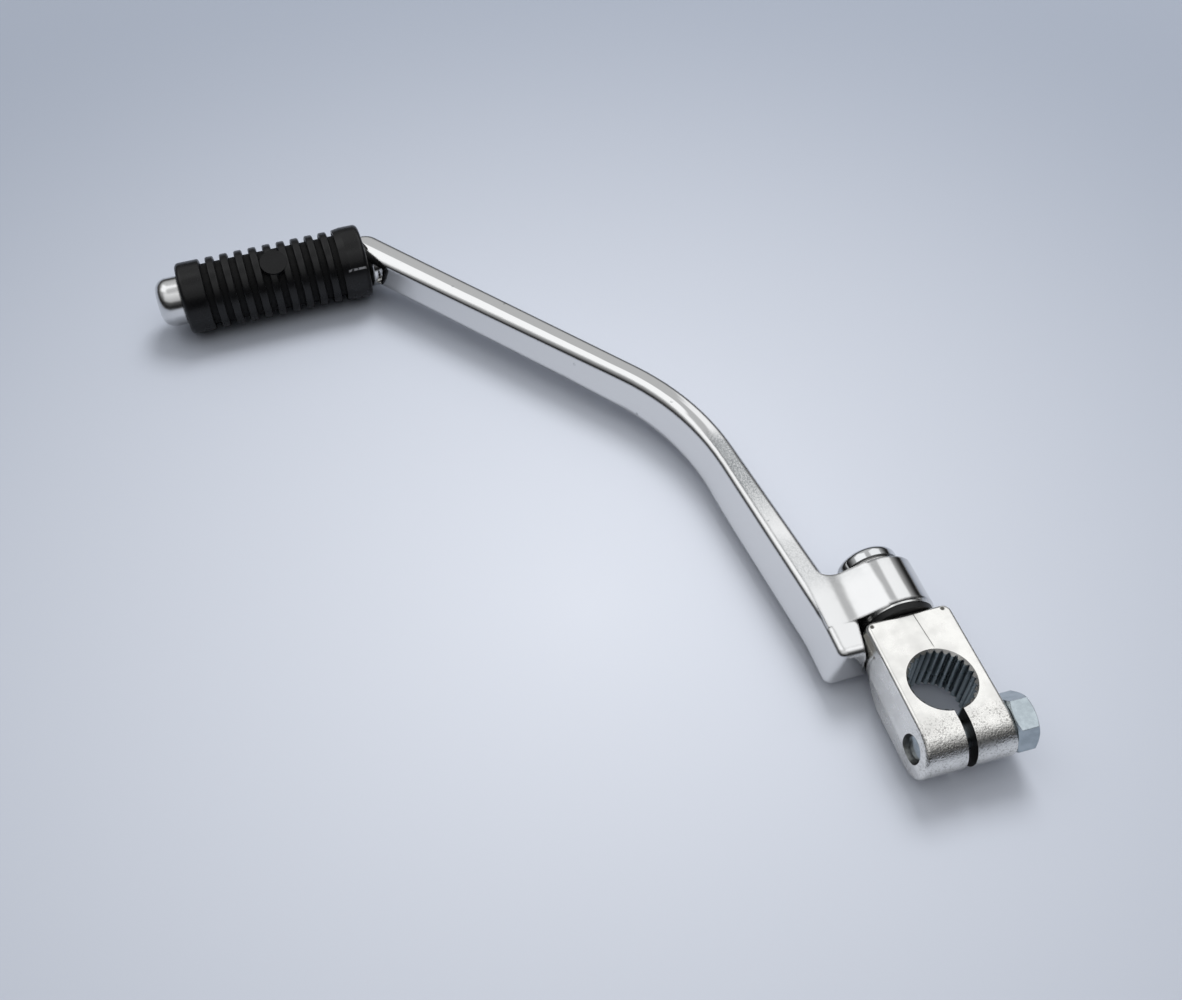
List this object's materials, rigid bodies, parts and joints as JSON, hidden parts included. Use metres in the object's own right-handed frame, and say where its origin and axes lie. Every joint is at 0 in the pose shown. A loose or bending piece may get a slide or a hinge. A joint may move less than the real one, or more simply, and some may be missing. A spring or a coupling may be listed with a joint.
{
  "type": "folding kick start lever",
  "caption": "Folding kick start lever: a splined clamp head on a pivot, a bent chromed arm and a ribbed rubber pedal sleeve on a peg.",
  "frame": {"origin": "middle of the splined bore, on its axis, half way through the clamp head", "axes": "+Z along the bore axis, up as the lever lies with its engine side up; +Y along the pivot axis from the bore towards the pivot boss; +X towards the head of the clamp bolt"},
  "size_m": [0.2104, 0.2564, 0.0264],
  "materials": {
    "chromed_forging": "bright chrome plate",
    "knuckle_forging": "satin plated forging",
    "zinc_bolt": "bluish zinc plate",
    "seal_rubber": "matt black",
    "washer_steel": "bright steel",
    "spring_steel": "dark spring steel",
    "bright_cap": "bright pressed cap",
    "bearing_steel": "polished ball",
    "pedal_rubber": "satin black"
  },
  "bodies": {
    "lever_arm": {"arm": "chromed_forging", "pedal_rubber": "pedal_rubber"},
    "clamp_head": {"knuckle": "knuckle_forging", "clamp_bolt": "zinc_bolt", "dust_seal": "seal_rubber", "pivot_washer": "washer_steel", "thrust_washer": "washer_steel", "retaining_ring": "spring_steel", "pivot_cap": "bright_cap", "detent_ball": "bearing_steel", "detent_spring": "spring_steel"}
  },
  "joints": [
    {"name": "fold", "type": "hinge", "parent": "lever_arm", "child": "clamp_head", "pos_m": [0, 0.0323, 0], "axis": [0, 1, 0], "range_deg": [0, 90]}
  ]
}
